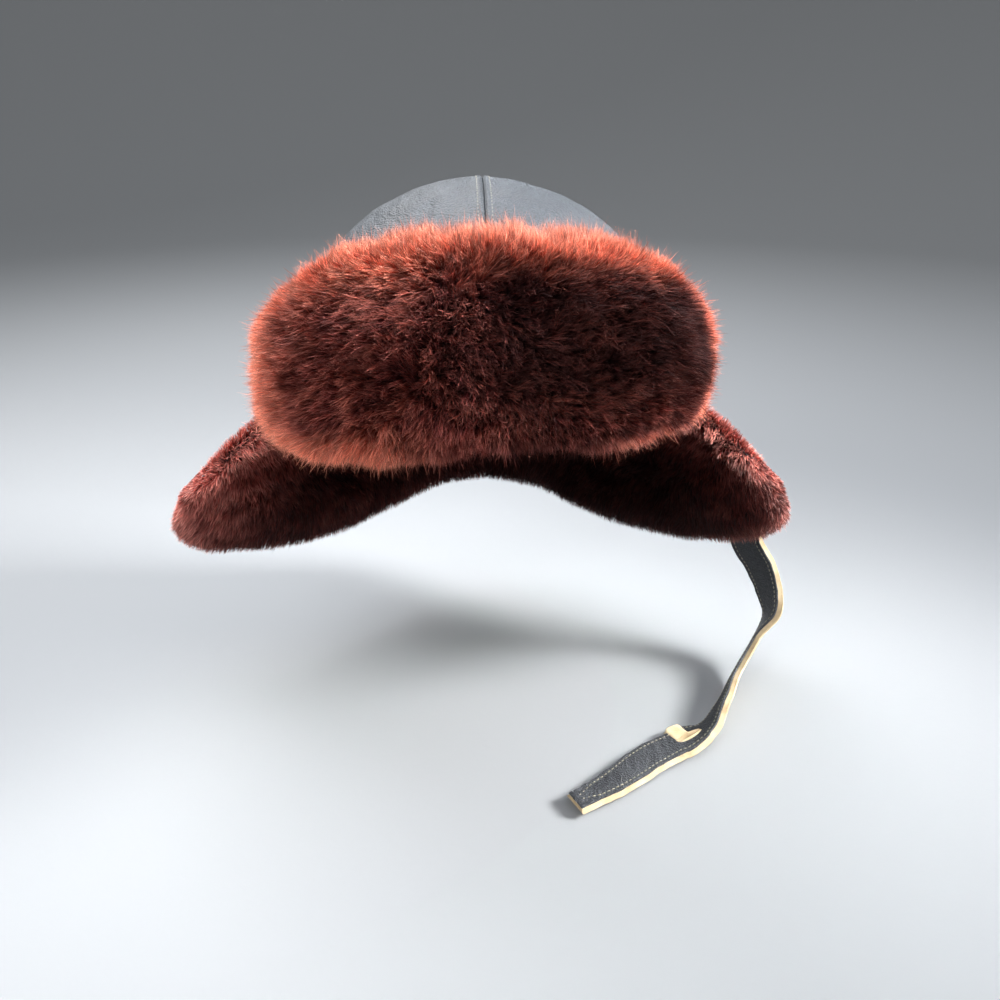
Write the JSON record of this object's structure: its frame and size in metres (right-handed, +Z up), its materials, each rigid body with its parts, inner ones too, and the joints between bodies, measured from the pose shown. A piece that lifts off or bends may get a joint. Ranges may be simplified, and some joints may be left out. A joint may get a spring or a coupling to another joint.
{
  "type": "earflap hat",
  "caption": "Winter hat with a two-panel leather crown, a turned-up visor of deep fur, fur-lined ear and neck flaps and a slit chin strap hanging from one flap.",
  "frame": {"origin": "the place where the top of the head touches the inside of the crown", "axes": "+Z up, the wearer faces -Y, +X towards the flap that carries the strap"},
  "size_m": [0.3721, 0.2478, 0.3087],
  "materials": {
    "crown_leather": "smooth black grain leather with a soft sheen",
    "raw_hide": "suede side of a dyed fur skin",
    "fur": "deep soft pile, dark red brown with paler rust tips",
    "strap_core": "undyed tan leather, matte cut edge",
    "button": "moulded black button"
  },
  "bodies": {
    "root": {"crown_panel_left": "crown_leather", "crown_panel_right": "crown_leather", "flap_left": "crown_leather", "flap_right": "crown_leather", "visor_hide": "raw_hide", "visor_fur": "fur", "flap_fur_left": "fur", "flap_fur_right": "fur", "chin_strap_core": "strap_core", "chin_strap_face": "crown_leather", "flap_button": "button"}
  },
  "joints": []
}
